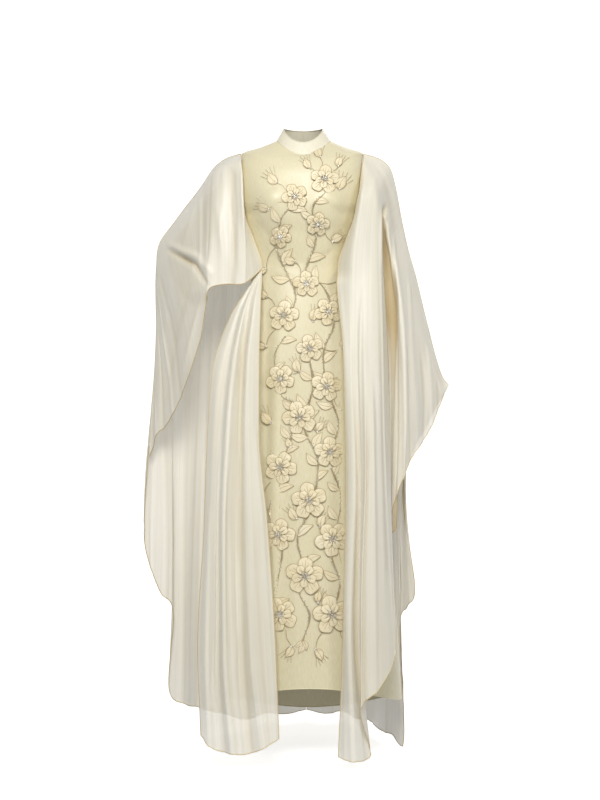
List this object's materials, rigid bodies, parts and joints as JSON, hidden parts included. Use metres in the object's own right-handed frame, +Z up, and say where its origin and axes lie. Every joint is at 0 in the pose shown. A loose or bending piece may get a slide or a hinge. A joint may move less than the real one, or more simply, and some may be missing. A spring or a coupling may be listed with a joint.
{
  "type": "abaya with an organza butterfly cape",
  "caption": "Long cream satin dress with a stand collar and applique blossoms, under a sheer organza cape with butterfly sleeves, posed as worn with one arm bent.",
  "frame": {"origin": "middle of the neck base, level with the shoulders, where the wearer carries the garment", "axes": "+Z up, -Y to the front, +X to the wearer's left"},
  "size_m": [0.7717, 0.6626, 1.5441],
  "materials": {
    "satin": "cream satin with a soft gloss",
    "collar_satin": "cream satin, doubled",
    "organza": "sheer ivory organza",
    "applique": "layered peach-cream organza",
    "cord": "bronze embroidery cord",
    "beads": "small silver-lined beads"
  },
  "bodies": {
    "root": {"collar": "collar_satin", "dress_front": "satin", "dress_back_left": "satin", "dress_back_right": "satin", "dress_sleeve_left": "satin", "dress_sleeve_right": "satin", "cape_front_left": "organza", "cape_sleeve_right": "organza", "cape_front_right": "organza", "cape_back_left": "organza", "cape_back_right": "organza", "blossom_01": "applique", "blossom_02": "applique", "blossom_03": "applique", "blossom_04": "applique", "blossom_05": "applique", "blossom_06": "applique", "blossom_07": "applique", "blossom_08": "applique", "blossom_09": "applique", "blossom_10": "applique", "blossom_11": "applique", "blossom_12": "applique", "blossom_13": "applique", "blossom_14": "applique", "blossom_15": "applique", "blossom_16": "applique", "blossom_17": "applique", "blossom_18": "applique", "blossom_19": "applique"}
  },
  "joints": []
}
